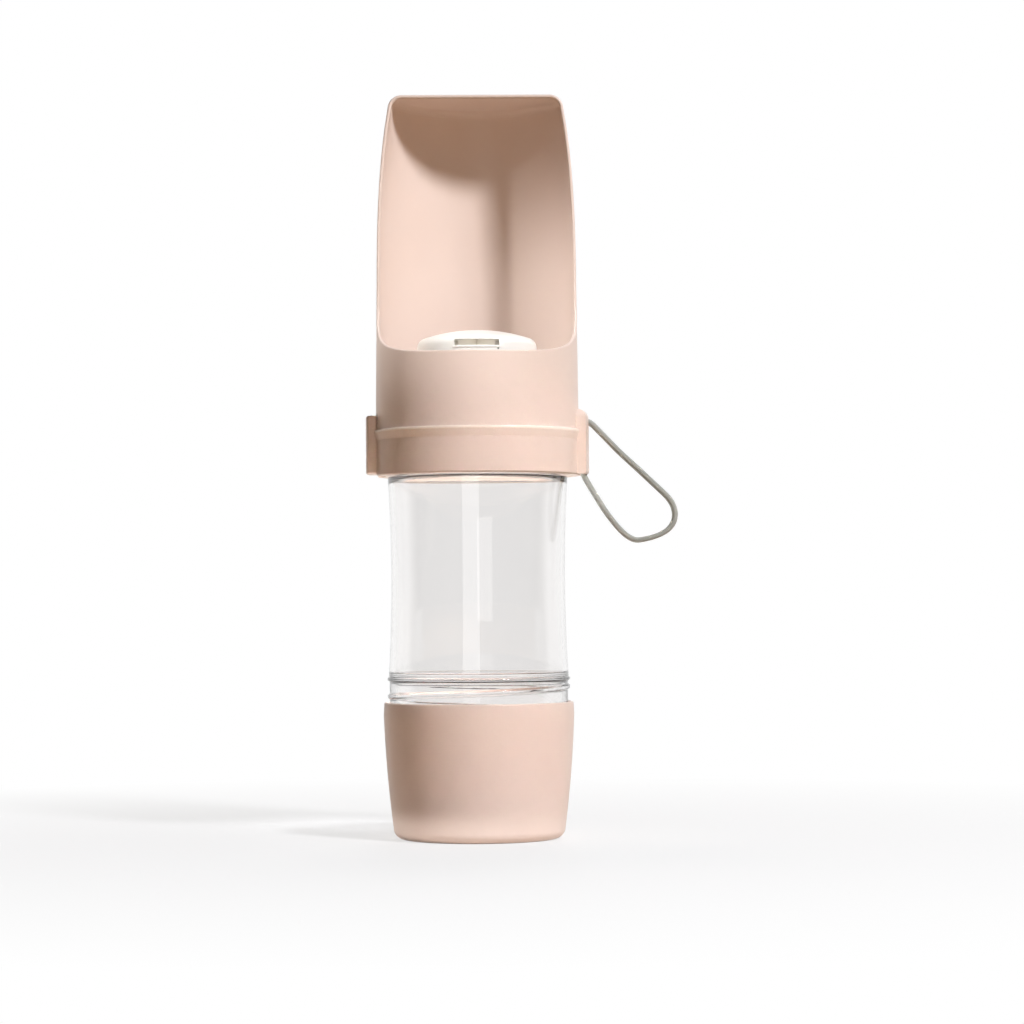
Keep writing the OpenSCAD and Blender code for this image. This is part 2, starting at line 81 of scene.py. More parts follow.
class Graph:
    # the node tree of a material or of the world
    def __init__(self, data):
        self.data = data
        data.use_nodes = True
        self.tree = data.node_tree

    def node(self, kind, settings=None, inputs=None, out=0):
        made = self.tree.nodes.new(kind)
        for key, value in (settings or {}).items():
            setattr(made, key, value)
        pairs = inputs.items() if isinstance(inputs, dict) else enumerate(inputs or [])
        for key, value in pairs:
            self.plug(made.inputs[key], value)
        return Sock(self, made.outputs[out])

    def plug(self, socket, value):
        if isinstance(value, Sock):
            self.tree.links.new(value.out, socket)
        elif isinstance(value, tuple) and len(value) == 3 and socket.type == "RGBA":
            socket.default_value = (*value, 1.0)
        else:
            socket.default_value = value

    def mix(self, factor, a, b):
        # colours are mixed here, never in a Math node
        settings = {"data_type": "RGBA", "blend_type": "MIX"}
        return self.node("ShaderNodeMix", settings, {0: factor, 6: a, 7: b}, out=2)

    def place(self):
        # the row frame's own coordinates, in metres
        return self.node("ShaderNodeTexCoord", out="Object")

    def pick(self, vector, which):
        split = self.node("ShaderNodeSeparateXYZ", inputs=[vector])
        return Sock(self, split.out.node.outputs[which])

    def seen(self, *kinds):
        # 1 for the kinds of ray that are named, such as Camera or Glossy
        ways = self.node("ShaderNodeLightPath").out.node.outputs
        return most(*[Sock(self, ways["Is " + kind + " Ray"]) for kind in kinds])

    def whiteFor(self, behind):
        # 1 where the white surroundings show: to the camera, straight through the clear body from
        # any side, and by reflection only where behind is 1
        count = Sock(self, self.node("ShaderNodeLightPath").out.node.outputs["Glossy Depth"])
        straight = self.seen("Transmission") * (1 - count.maths("MINIMUM", count, 1.0))
        return most(self.seen("Camera"), straight, self.seen("Transmission", "Glossy") * behind)

    def noise(self, scale, detail, rough=0.5):
        inputs = {"Vector": self.place(), "Scale": scale, "Detail": detail, "Roughness": rough}
        return self.node("ShaderNodeTexNoise", inputs=inputs)

    def ramp(self, value, low, high):
        inputs = {"Value": value, "From Min": low, "From Max": high, "To Min": 0.0, "To Max": 1.0}
        return self.node("ShaderNodeMapRange", inputs=inputs)


class Mat(Graph):
    # a material with one Principled shader, whose constants are set straight on its sockets
    def __init__(self, name, **constants):
        super().__init__(bpy.data.materials.new(name))
        self.shader = self.tree.nodes["Principled BSDF"]
        self.output = self.tree.nodes["Material Output"]
        for key, value in constants.items():
            self.shader.inputs[key.replace("_", " ")].default_value = value

    def drive(self, name, value):
        self.plug(self.shader.inputs[name], value)

    def bump(self, height, strength, distance):
        inputs = {"Height": height, "Strength": strength, "Distance": distance}
        self.drive("Normal", self.node("ShaderNodeBump", inputs=inputs))


def srgb(r, g, b):
    # a colour as a picture shows it, 0 to 255, turned into the linear one that shaders take
    def linear(c):
        c = c / 255
        return c / 12.92 if c <= 0.04045 else ((c + 0.055) / 1.055) ** 2.4
    return (linear(r), linear(g), linear(b))


def meshObject(name, verts, faces, angle=35):
    # verts in mm; edges sharper than angle stay sharp
    mesh = bpy.data.meshes.new(name)
    mesh.from_pydata([tuple(c * mm for c in v) for v in verts], [], faces)
    mesh.validate()
    build = bmesh.new()
    build.from_mesh(mesh)
    bmesh.ops.recalc_face_normals(build, faces=build.faces)
    build.to_mesh(mesh)
    build.free()
    obj = bpy.data.objects.new(name, mesh)
    scene.collection.objects.link(obj)
    smooth(obj, angle)
    return obj


def smooth(obj, angle):
    for face in obj.data.polygons:
        face.use_smooth = True
    obj.data.set_sharp_from_angle(angle=math.radians(angle))


def finished(piece, body, material, slot, *replaced):
    piece.data.materials.clear()
    piece.data.materials.append(material)
    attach(piece, body)
    if replaced:
        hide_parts(*replaced)
    return piece


def lerp(a, b, t):
    return a + (b - a) * t


def arc(x, y, radius, start, end, steps):
    points = []
    for i in range(steps + 1):
        a = math.radians(lerp(start, end, i / steps))
        points.append((x + radius * math.cos(a), y + radius * math.sin(a)))
    return points


def rounded(corners, steps):
    # corners are (x, y, radius); each is rounded off where its radius isn't 0
    points = []
    count = len(corners)
    for i, (x, y, radius) in enumerate(corners):
        here = Vector((x, y))
        if radius <= 0:
            points.append((x, y))
            continue
        before = Vector(corners[i - 1][:2]) - here
        after = Vector(corners[(i + 1) % count][:2]) - here
        half = before.angle(after) / 2
        reach = min(radius / math.tan(half), 0.49 * before.length, 0.49 * after.length)
        radius = reach * math.tan(half)
        middle = here + (before.normalized() + after.normalized()).normalized() * (radius / math.sin(half))
        first = here + before.normalized() * reach - middle
        turn = first.angle_signed(here + after.normalized() * reach - middle)
        for k in range(steps + 1):
            step = first.copy()
            step.rotate(Matrix.Rotation(-turn * k / steps, 2))
            points.append(tuple(middle + step))
    return points


def lathe(name, outline, around, shift=None, angle=35):
    # outline is a closed loop of (radius, height), or starts and ends on the axis; shift moves its
    # points outwards
    onAxis = outline[0][0] < 1e-6 and outline[-1][0] < 1e-6
    ring = outline[1:-1] if onAxis else outline
    verts = []
    for i in range(around):
        a = 2 * math.pi * i / around
        for r, z in ring:
            out = r + (shift(a, r, z) if shift else 0.0)
            verts.append((out * math.cos(a), out * math.sin(a), z))
    n = len(ring)
    faces = []
    for i in range(around):
        here = i * n
        there = ((i + 1) % around) * n
        for k in range(n - 1 if onAxis else n):
            after = (k + 1) % n
            faces.append((here + k, there + k, there + after, here + after))
    if onAxis:
        for z, k in ((outline[0][1], 0), (outline[-1][1], n - 1)):
            verts.append((0, 0, z))
            centre = len(verts) - 1
            for i in range(around):
                a = i * n + k
                b = ((i + 1) % around) * n + k
                faces.append((centre, b, a) if k == 0 else (centre, a, b))
    return meshObject(name, verts, faces, angle)


def tubeAlong(name, points, section, closed=False, side=None):
    # section is a loop of (across, along side); side fixes its direction, and None lets it roll freely
    points = [Vector(p) for p in points]
    count = len(points)
    verts = []
    normal = None
    for i, point in enumerate(points):
        if closed:
            ahead = (points[(i + 1) % count] - points[i - 1]).normalized()
        else:
            ahead = (points[min(i + 1, count - 1)] - points[max(i - 1, 0)]).normalized()
        if side is not None:
            along = Vector(side)
            across = along.cross(ahead).normalized()
        else:
            if normal is None:
                normal = ahead.orthogonal()
            normal = (normal - ahead * normal.dot(ahead)).normalized()
            across, along = normal, ahead.cross(normal)
        for u, v in section:
            verts.append(tuple(point + across * u + along * v))
    n = len(section)
    faces = []
    for i in range(count if closed else count - 1):
        for k in range(n):
            a = i * n + k
            b = i * n + (k + 1) % n
            c = ((i + 1) % count) * n + (k + 1) % n
            d = ((i + 1) % count) * n + k
            faces.append((a, b, c, d))
    if not closed:
        faces.append(tuple(range(n - 1, -1, -1)))
        faces.append(tuple((count - 1) * n + k for k in range(n)))
    return meshObject(name, verts, faces, 40)


def circle(radius, steps):
    return arc(0, 0, radius, 0, 360 - 360 / steps, steps - 1)


def spline(points, steps):
    # Catmull-Rom through the points
    points = [Vector(p) for p in points]
    found = []
    for i in range(len(points) - 1):
        a = points[max(i - 1, 0)]
        b, c = points[i], points[i + 1]
        d = points[min(i + 2, len(points) - 1)]
        for k in range(steps):
            t = k / steps
            found.append(0.5 * (2 * b + (c - a) * t + (2 * a - 5 * b + 4 * c - d) * t * t
                                + (3 * b - a - 3 * c + d) * t * t * t))
    found.append(points[-1])
    return found


def settle(obj):
    # what the modifiers make becomes the mesh itself
    graph = bpy.context.evaluated_depsgraph_get()
    graph.update()
    mesh = bpy.data.meshes.new_from_object(obj.evaluated_get(graph))
    obj.modifiers.clear()
    obj.data = mesh
    smooth(obj, 35)


def cutWith(obj, tool):
    cut = obj.modifiers.new("cut", "BOOLEAN")
    cut.operation = "DIFFERENCE"
    cut.solver = "EXACT"
    cut.object = tool
    settle(obj)
    bpy.data.objects.remove(tool)


def bevel(obj, width, segments, limit):
    edges = obj.modifiers.new("edges", "BEVEL")
    edges.width = width * mm
    edges.segments = segments
    edges.limit_method = "ANGLE"
    edges.angle_limit = math.radians(limit)
    settle(obj)


def joined(first, *others):
    # the others' meshes go into the first
    build = bmesh.new()
    for obj in (first, *others):
        build.from_mesh(obj.data)
    build.to_mesh(first.data)
    build.free()
    for obj in others:
        bpy.data.objects.remove(obj)
    return first


def ridge(a, z, helix):
    # how far a right-handed screw ridge stands out at angle a and height z
    pitch = helix["pitch"]
    off = (z - helix["start"] - pitch * a / (2 * math.pi)) % pitch
    off = min(off, pitch - off) / (helix["wide"] / 2)
    low = (z - helix["low"]) / helix["fade"]
    high = (helix["high"] - z) / helix["fade"]
    shape = max(0.0, min(1.0, 1.6 * (1 - off)))
    shape = shape * shape * (3 - 2 * shape)
    return helix["proud"] * shape * max(0.0, min(1.0, low, high))


camera = {
    "distance": 1.092,      # from the bottle's axis to the lens
    "height": 0.0834,       # the lens stands this high above the floor
    "focal": 3000 / 1024,   # focal length in widths of the picture
    "tiltUp": 1.833,        # degrees
    "turnRight": 0.653,
    "roll": -0.37,
}


def addCamera():
    data = bpy.data.cameras.new("camera")
    data.sensor_width = 36
    data.lens = camera["focal"] * data.sensor_width
    data.clip_end = 20
    obj = bpy.data.objects.new("camera", data)
    scene.collection.objects.link(obj)
    turn = Matrix.Rotation(math.radians(-camera["turnRight"]), 4, "Z")
    tilt = Matrix.Rotation(math.radians(90 + camera["tiltUp"]), 4, "X")
    roll = Matrix.Rotation(math.radians(camera["roll"]), 4, "Z")
    stand = Matrix.Translation((0, -camera["distance"], camera["height"]))
    obj.matrix_world = stand @ turn @ tilt @ roll
    scene.camera = obj


addCamera()
print("camera set")


strap = {
    "width": 7.0,
    "thick": 1.8,
    "edge": 0.7,                 # rounding of the band's edges
    "leaves": (41.3, 0, 150.4),  # where it comes out of the lug
    # the same route as in part.scad, x and z in mm
    "route": [(38, 140.2), (38, 143), (38, 145.5), (38, 147.8), (38.4, 149.6), (39.4, 150.7),
              (40.6, 150.9), (41.9, 150.1), (43.6, 148.4), (47, 144.9), (50.8, 140.9), (54.7, 137.2),
              (58.6, 133.6), (62.4, 130), (66.2, 126.4), (69.2, 123.4), (71.1, 120.4), (71.8, 117.2),
              (71.2, 114.2), (69.3, 111.7), (66.8, 110.1), (64, 109), (60.7, 108.2), (57.5, 107.9),
              (54.6, 109.2), (51.9, 111.6), (49.4, 114.5), (47, 117.7), (45.2, 120.4), (43.5, 123.2),
              (41.5, 126.5), (39.9, 129.2), (38.8, 131.4), (38.2, 133.5), (38, 136), (38, 139.6)],
}


def strapFinish():
    mat = Mat("strapBand", Specular_IOR_Level=0.35)
    grain = mat.noise(scale=2200, detail=4)
    cloud = mat.ramp(mat.noise(scale=60, detail=2), 0.3, 0.7)
    mat.drive("Base Color", mat.mix(cloud, srgb(146, 149, 143), srgb(168, 171, 166)))
    mat.drive("Roughness", 0.58 + grain * 0.12)
    mat.bump(grain, strength=0.25, distance=0.0002)
    return mat.data


def addStrap():
    path = spline([(x, 0, z) for x, z in strap["route"]], steps=4)
    w, t, r = strap["width"] / 2, strap["thick"] / 2, strap["edge"]
    section = rounded([(-t, -w, r), (t, -w, r), (t, w, r), (-t, w, r)], steps=4)
    piece = tubeAlong("wristStrap", path, section, side=(0, 1, 0))
    finished(piece, "head", strapFinish(), "strap_grey", "wrist_strap")
    metres = [tuple(p * mm) for p in path]
    length = sum((b - a).length for a, b in zip(path, path[1:])) * mm


addStrap()
print("strap made")


pinkTone = {
    "shell": srgb(231, 213, 202),
    "shellDeep": srgb(228, 209, 197),
    "cup": srgb(229, 210, 199),
    "button": srgb(227, 206, 194),
}


def moulded(name, tone, deep, roughness=0.34, sheen=0.28):
    # injection-moulded plastic: a faint flow in the colour and a fine skin in the gloss
    mat = Mat(name, IOR=1.48, Specular_IOR_Level=sheen)
    flow = mat.noise(scale=14, detail=2)
    skin = mat.noise(scale=900, detail=3)
    mat.drive("Base Color", mat.mix(mat.ramp(flow, 0.35, 0.65), deep, tone))
    mat.drive("Roughness", roughness + skin * 0.05)
    mat.bump(skin, strength=0.05, distance=0.00006)
    return mat.data


def clearPlastic():
    mat = Mat("clearPlastic", Transmission_Weight=1.0, IOR=1.5)
    cloud = mat.noise(scale=25, detail=2)
    skin = mat.noise(scale=120, detail=2)
    mat.drive("Base Color", mat.mix(cloud, srgb(247, 246, 246), srgb(252, 251, 250)))
    mat.drive("Roughness", 0.015 + cloud * 0.02)
    mat.bump(skin, strength=0.008, distance=0.0001)
    return mat.data


def metalWire():
    mat = Mat("stainlessWire", Metallic=1.0)
    streak = mat.noise(scale=700, detail=3)
    mat.drive("Base Color", mat.mix(streak, srgb(168, 168, 170), srgb(205, 206, 208)))
    mat.drive("Roughness", 0.22 + streak * 0.15)
    mat.bump(streak, strength=0.05, distance=0.00005)
    return mat.data


def siliconeRubber(name, tone, deep, roughness):
    mat = Mat(name, IOR=1.42, Subsurface_Weight=0.15, Subsurface_Scale=0.002)
    cloud = mat.noise(scale=80, detail=3)
    mat.drive("Base Color", mat.mix(cloud, deep, tone))
    mat.drive("Roughness", roughness + cloud * 0.1)
    mat.bump(cloud, strength=0.05, distance=0.0001)
    return mat.data


def filterMedium():
    mat = Mat("filterMedium")
    grain = mat.noise(scale=1500, detail=4, rough=0.7)
    mat.drive("Base Color", mat.mix(mat.ramp(grain, 0.4, 0.6), srgb(70, 70, 70), srgb(125, 124, 120)))
    mat.drive("Roughness", 0.8 + grain * 0.15)
    mat.bump(grain, strength=0.4, distance=0.0003)
    return mat.data


shellPink = moulded("shellPink", pinkTone["shell"], pinkTone["shellDeep"])
cupPink = moulded("cupPink", pinkTone["cup"], pinkTone["shellDeep"])
buttonPink = moulded("buttonPink", pinkTone["button"], pinkTone["shellDeep"], roughness=0.38)
domeWhite = moulded("domeWhite", srgb(252, 250, 244), srgb(250, 248, 240), roughness=0.3, sheen=0.5)
innerWhite = moulded("innerWhite", srgb(238, 238, 234), srgb(232, 232, 228), roughness=0.4)
bottleClear = clearPlastic()
wireSteel = metalWire()
milkySilicone = siliconeRubber("milkySilicone", srgb(232, 232, 230), srgb(222, 222, 220), roughness=0.45)
sealBlack = siliconeRubber("sealBlack", srgb(40, 40, 41), srgb(30, 30, 31), roughness=0.5)
filterGrey = filterMedium()
# the collar's lip is the shell's own plastic, painted lighter as the bright highlight along its rounded
# edge
lipHighlightPink = moulded("lipHighlightPink", srgb(252, 238, 226), srgb(249, 233, 220), roughness=0.16, sheen=0.5)
# the lip's underside: the shell's plastic painted a little lighter, against the shade that falls under the
# lip
tailShadeLiftedPink = moulded("tailShadeLiftedPink", srgb(240, 223, 212), srgb(237, 219, 207))
# grey painted as the shade inside the dome's pin hole
pinHoleShadeGrey = siliconeRubber("pinHoleShadeGrey", srgb(150, 146, 136), srgb(128, 124, 114), roughness=0.5)

finishOfNode = {
    "food_cup": cupPink, "cup_gasket": milkySilicone, "bottle": bottleClear, "neck_gasket": milkySilicone,
    "trough_shell": shellPink, "collar_ring": shellPink, "push_button": buttonPink,
    "button_spring": wireSteel, "button_bush": innerWhite, "button_clip": wireSteel,
    "button_oring": sealBlack, "valve_guide": innerWhite, "valve_stem": innerWhite,
    "valve_poppet": milkySilicone, "poppet_clip": wireSteel, "valve_spring": wireSteel,
    "spring_cap": innerWhite, "outlet_dome": domeWhite, "filter_puck": filterGrey,
}


# heights and radii in mm, the same as in part.scad
shape = {
    "cupRim": 49.5,
    "bead": 57.9,
    "shoulder": 131.2,
    "collarTop": 147.9,
    "base": 148.0,
    "frontRim": 174.0,
    "top": 271.1,
    "lugOut": 40.6,
    "shaft": 151.1,
    "bottleRadius": 32.75,
    "waist": 1.15,          # how far the clear body is drawn in
    "baseRadius": 37.0,     # the trough at its base
    "middleRadius": 36.4,   # the scoop where its crown starts
    "crownHigh": 62.0,
    "crownIn": 4.3,         # how far the crown draws in up to the top edge
    "topRound": 5.0,
}


def shellOut(z):
    # outside radius of the trough and its scoop, which draws in over the crown
    start = shape["top"] - shape["topRound"] - shape["crownHigh"]
    if z < start:
        up = (z - shape["base"]) / (start - shape["base"])
        return lerp(shape["baseRadius"], shape["middleRadius"], up)
    h = (z - start) / shape["crownHigh"]
    return shape["middleRadius"] - shape["crownIn"] * (0.7 * h ** 2 + 0.3 * h ** 4)


def bodyOut(z):
    # outside radius of the clear body, drawn in at its waist
    half = (shape["shoulder"] - shape["bead"]) / 2
    t = (z - shape["bead"] - half) / half
    return shape["bottleRadius"] - shape["waist"] * (1 - t * t)


cup = {
    "foot": (31.2, 4.0),    # radius and height where the rounded foot ends
    "wide": (34.6, 45.0),   # and where the wall stops leaning out
    "bulge": 0.5,           # the wall swells by this much between them
    "rimRound": 0.7,
    "rimIn": 0.2,           # the rim is this much narrower than the wall below it
    "bore": 33.35,
    "boreRound": 0.35,
    "ledge": 36.0,
    "floor": 2.6,
    "floorRound": 6.0,      # inside, between floor and wall
    "wall": 2.6,
    "recess": 0.8,
    "ring": (21.6, 23.4),   # radius where the recess ends underneath, and where the foot starts
    "thread": {"pitch": 7.0, "start": 51.3, "low": 37.5, "high": 48.4, "fade": 2.0, "wide": 1.6,
               "proud": 0.15},
}


def cupOut(z):
    # outside radius of the food cup
    (foot, low), (wide, high) = cup["foot"], cup["wide"]
    t = (z - low) / (high - low)
    return lerp(foot, wide, t) + cup["bulge"] * 4 * t * (1 - t)


def addFoodCup():
    rim, rimRound, (foot, edge), (wide, high) = shape["cupRim"], cup["rimRound"], cup["foot"], cup["wide"]
    (ringIn, ringOut), recess = cup["ring"], cup["recess"]
    small = recess / 2
    outer = [(0, recess), (ringIn, recess)] + arc(ringIn, small, small, 90, 0, 3)[1:]
    outer += arc(ringOut, small, small, 180, 270, 3)
    outer += arc(foot - edge, edge, edge, -90, 0, 12)
    outer += [(cupOut(z), z) for z in [lerp(edge, high, i / 30) for i in range(1, 31)]]
    outer += arc(wide - cup["rimIn"] - rimRound, rim - rimRound, rimRound, 8, 90, 8)
    bore, ledge, wall, soft = cup["bore"], cup["ledge"], cup["wall"], cup["boreRound"]
    inner = arc(bore + soft, rim - soft, soft, 90, 180, 4)
    inner += [(bore, lerp(rim - 0.6, ledge + 0.3, i / 34)) for i in range(35)]
    inner += [(bore, ledge), (cupOut(ledge) - wall + 0.3, ledge)]
    inner += arc(cupOut(ledge - 1) - wall + 0.3, ledge - 0.3, 0.3, 90, 180, 3)
    corner = cup["floorRound"]
    turn = cup["floor"] + corner
    inner += [(cupOut(z) - wall, z) for z in [lerp(ledge - 1, turn + 1, i / 16) for i in range(17)]]
    inner += arc(cupOut(turn) - wall - corner, turn, corner, 0, -90, 12) + [(0, cup["floor"])]

    def shift(a, r, z):
        return -ridge(a, z, cup["thread"]) if abs(r - bore) < 0.01 else 0.0
    piece = lathe("foodCup", outer + inner, around=192, shift=shift)
    finished(piece, "food_cup", cupPink, "cup_pink", "food_cup")


bottle = {
    "wall": 1.8,
    "stubWall": 2.0,
    "stubLow": 38.0,
    "stubIn": 0.35,         # the stub is this much narrower than the body
    "beadRound": 0.85,
    "neck": 30.4,
    "neckWall": 3.0,
    "neckTop": 143.0,
    "floorTop": 59.9,
    "corner": 0.5,          # rounding where the inside wall meets the floor
    "edge": 0.4,            # rounding of the stub's end and inside the neck
    "shoulderRound": 0.5,
    "stubThread": {"pitch": 7.0, "start": 55.05, "low": 39.0, "high": 57.6, "fade": 1.4, "wide": 2.3,
                   "proud": 0.72},
    "neckThread": {"pitch": 6.0, "start": 137.0, "low": 135.0, "high": 142.4, "fade": 1.2, "wide": 2.0,
                   "proud": 0.5},
}


def addBottle():
    body = shape["bottleRadius"]
    stub = body - bottle["stubIn"]
    bead, shoulder, neck, top = shape["bead"], shape["shoulder"], bottle["neck"], bottle["neckTop"]
    low, inStub = bottle["stubLow"], stub - bottle["stubWall"]
    edge, soft = bottle["edge"], bottle["shoulderRound"]
    outer = arc(inStub + edge, low + edge, edge, 180, 270, 3)
    outer += arc(stub - edge, low + edge, edge, -90, 0, 3)
    outer += [(stub, lerp(low + 0.7, bead - 1.2, i / 96)) for i in range(97)]
    outer += arc(body - edge, bead, bottle["beadRound"], -78, 78, 12)
    outer += [(bodyOut(z), z) for z in [lerp(bead + 1.2, shoulder - 0.7, i / 60) for i in range(61)]]
    outer += arc(bodyOut(shoulder - soft) - soft, shoulder - soft, soft, 0, 90, 5)
    outer += arc(neck + edge, shoulder + edge, edge, 270, 180, 4)
    outer += [(neck, lerp(shoulder + 0.6, top - 0.7, i / 60)) for i in range(61)]
    outer += arc(neck - soft, top - soft, soft, 0, 90, 4)
    inNeck = neck - bottle["neckWall"]
    inner = arc(inNeck + edge, top - edge, edge, 90, 180, 4) + [(inNeck, shoulder + 0.5)]
    innerTop = shoulder - 0.9
    inner += [(inNeck + 0.3, shoulder - 0.4), (bodyOut(innerTop) - bottle["wall"] - 0.4, shoulder - 0.5)]
    corner = bottle["corner"]
    high = bottle["floorTop"] + corner
    heights = [lerp(innerTop, high + 0.4, i / 40) for i in range(41)]
    inner += [(bodyOut(z) - bottle["wall"], z) for z in heights]
    inner += arc(bodyOut(high) - bottle["wall"] - corner, high, corner, 0, -90, 16)
    inner += [(12, bottle["floorTop"]), (0.0, bottle["floorTop"])]
    under = [(0.0, bead), (inStub - 1, bead)] + arc(inStub - 1, bead - 1, 1, 90, 0, 5)

    def shift(a, r, z):
        if abs(r - stub) < 0.01 and z < bead:
            return ridge(a, z, bottle["stubThread"])
        if abs(r - neck) < 0.01:
            return ridge(a, z, bottle["neckThread"])
        return 0.0
    piece = lathe("clearBottle", under + outer + inner, around=192, shift=shift, angle=50)
    piece.visible_shadow = False    # clear plastic lets the lamps through
    finished(piece, "bottle", bottleClear, "clear_plastic", "bottle")


trough = {
    "wall": 1.2,
    "rimProud": 0.015,      # how far the rounded rim stands out on either side of the wall
    "sweep": 20.0,          # height over which the rim sweeps up from the front to the sides
}


def addTroughRim():
    # the full-round rim along the whole cut edge: up the right side, over the top and down the left
    half = trough["wall"] / 2
    reach = shellOut(shape["frontRim"])
    side = []
    for i in range(41):
        a = math.radians(90 * i / 40)
        y = -reach + reach * math.cos(a)
        z = shape["frontRim"] + trough["sweep"] * (1 - math.sin(a))
        middle = shellOut(z) - half
        side.append((math.sqrt(max(middle ** 2 - y * y, 0.0)), y, z))
    side[-1] = (0.0, -(shellOut(side[-1][2]) - half), side[-1][2])
    r = shape["topRound"]
    edge = shape["top"] - r
    start = shape["frontRim"] + trough["sweep"] + 2     # just above the sweep
    up = [(shellOut(z) - half, 0.0, z) for z in [lerp(start, edge - 0.4, i / 40) for i in range(41)]]
    corner = [(x, 0.0, z) for x, z in arc(shellOut(edge) - r, edge, r - half, 8, 88, 12)]
    roof = [(lerp(shellOut(edge) - r - 1, 0, i / 12), 0.0, shape["top"] - half) for i in range(13)]
    right = side[::-1] + up + corner + roof
    left = [(-x, y, z) for x, y, z in right]
    path = right + left[-2:0:-1]
    piece = tubeAlong("troughRim", path, circle(half + trough["rimProud"], steps=16), closed=True)
    finished(piece, "head", shellPink, "shell_pink")


collar = {
    "lipRadius": 38.2,
    "lipHigh": 1.05,
    "lipDeep": 0.9,
    "lipDrop": 0.42,            # from the lip's middle down to its lower edge
    "lipTail": (0.28, 2.6),     # how far inwards and down the underside runs out into the wall
    "lipProud": (0.06, 0.03),   # how far the lip stands past the solid's edge, outwards and upwards
    "gapAtButton": 13.2,        # degrees either side of -X that the button's pocket takes
    "gapAtLug": 16.2,           # and either side of +X that the strap's lug takes
}


def addCollarLip():
    # the rounded edge that stands out at the top of the collar, between the button and the strap lug
    deep, high, (outward, upward) = collar["lipDeep"], collar["lipHigh"] / 2, collar["lipProud"]
    root, tail = -collar["lipTail"][0], -high - collar["lipTail"][1]
    section = rounded([(-deep, tail, 0), (root, tail, 0), (deep / 2, -collar["lipDrop"], 0.5),
                       (deep / 2, high, 0.5), (-deep, high, 0)], steps=6)
    middle = collar["lipRadius"] - deep / 2 + outward
    z = shape["collarTop"] - high + upward
    spans = [(180 + collar["gapAtButton"], 360 - collar["gapAtLug"]),
             (collar["gapAtLug"], 180 - collar["gapAtButton"])]
    arcs = []
    for first, last in spans:
        path = [(middle * math.cos(a), middle * math.sin(a), z)
                for a in [math.radians(lerp(first, last, i / 90)) for i in range(91)]]
        arcs.append(tubeAlong("collarLip", path, [(-u, v) for u, v in section], side=(0, 0, 1)))
    piece = joined(*arcs)
    # the lip's lighter colour is a painted highlight
    finished(piece, "head", lipHighlightPink, "shell_pink")
    # faces below the lip's lower edge take the lighter tail colour, painted light against the shade under
    # the lip
    piece.data.materials.append(tailShadeLiftedPink)
    for face in piece.data.polygons:
        face.material_index = int(face.center.z < (z - high) * mm)


button = {
    "wide": 16.0,
    "low": 132.3,
    "high": 153.3,
    "thick": 4.3,
    "round": 0.8,
    "seat": (3.15, 34.0, 39.0),             # radius and ends of the spring's seat in the plate
    "shaftRadius": 2.0,
    "shaftEnds": (4.4, 39.2),
    "clipGroove": (1.22, 16.95, 17.85),     # radius and ends
    "ringGroove": (1.4, 24.98, 25.62),
    "nosePlane": 157.6,                     # the nose ends on the plane x = z - nosePlane
}


def curvedBlock(name, radius, inner, y0, y1, z0, z1):
    # a block whose outer face, towards -X, is round the bottle's axis
    verts, faces = [], []
    turns = 24
    for i in range(turns + 1):
        y = lerp(y0, y1, i / turns)
        out = -math.sqrt(radius * radius - y * y)
        verts += [(out, y, z0), (out, y, z1), (inner, y, z1), (inner, y, z0)]
    for i in range(turns):
        a = 4 * i
        for k in range(4):
            faces.append((a + k, a + (k + 1) % 4, a + 4 + (k + 1) % 4, a + 4 + k))
    faces += [(0, 1, 2, 3), tuple(4 * turns + k for k in (3, 2, 1, 0))]
    return meshObject(name, verts, faces)


def addButton():
    half = button["wide"] / 2
    inner = -shape["lugOut"] + button["thick"]
    plate = curvedBlock("pushButton", shape["lugOut"], inner, -half, half, button["low"], button["high"])
    bevel(plate, button["round"], segments=5, limit=50)
    lieDown = Matrix.Translation((0, 0, shape["shaft"] * mm)) @ Matrix.Rotation(math.radians(-90), 4, "Y")
    wide, low, high = button["seat"]
    seat = lathe("seatCutter", [(0, low), (wide, low), (wide, high), (0, high)], around=48)
    seat.data.transform(lieDown)
    cutWith(plate, seat)
    r, (low, high) = button["shaftRadius"], button["shaftEnds"]
    outline = [(0, low), (r - 0.2, low), (r, low + 0.2)]
    for deep, first, last in (button["clipGroove"], button["ringGroove"]):
        outline += [(r, first), (deep, first), (deep, last), (r, last)]
    shaft = lathe("buttonShaft", outline + [(r, high), (0, high)], around=48)
    shaft.data.transform(lieDown)
    # the cutter takes away what lies past the nose's plane
    slope = button["nosePlane"]
    wedge = [(x, y, z) for y in (-4, 4) for x, z in ((140 - slope, 140), (20, 140), (20, slope + 20))]
    sides = [(0, 1, 2), (5, 4, 3), (0, 3, 4, 1), (1, 4, 5, 2), (2, 5, 3, 0)]
    cutWith(shaft, meshObject("noseCutter", wedge, sides))
    finished(joined(plate, shaft), "button", buttonPink, "button_pink", "push_button")


coil = {
    "wire": 0.5,
    "flat": (0.6, 0.25),    # turns at each end that lie flat, and how much a flat turn climbs
    "valve": {"radius": 3.2, "from": 160.05, "to": 169.95, "turns": 5.5},
    "button": {"radius": 2.7, "from": 29.15, "to": 38.95, "turns": 4.5},
}


def coilPath(size):
    # flat end turns, and even turns between them
    points = []
    turns, (flat, climb) = size["turns"], coil["flat"]
    steps = int(turns * 36)
    low, high = size["from"] + coil["wire"] / 2, size["to"] - coil["wire"] / 2
    for i in range(steps + 1):
        turn = turns * i / steps
        free = min(1.0, max(0.0, (turn - flat) / (turns - 2 * flat)))
        z = lerp(low + climb * min(turn, flat), high - climb * min(turns - turn, flat), free)
        a = 2 * math.pi * turn
        points.append((size["radius"] * math.cos(a), size["radius"] * math.sin(a), z))
    return points


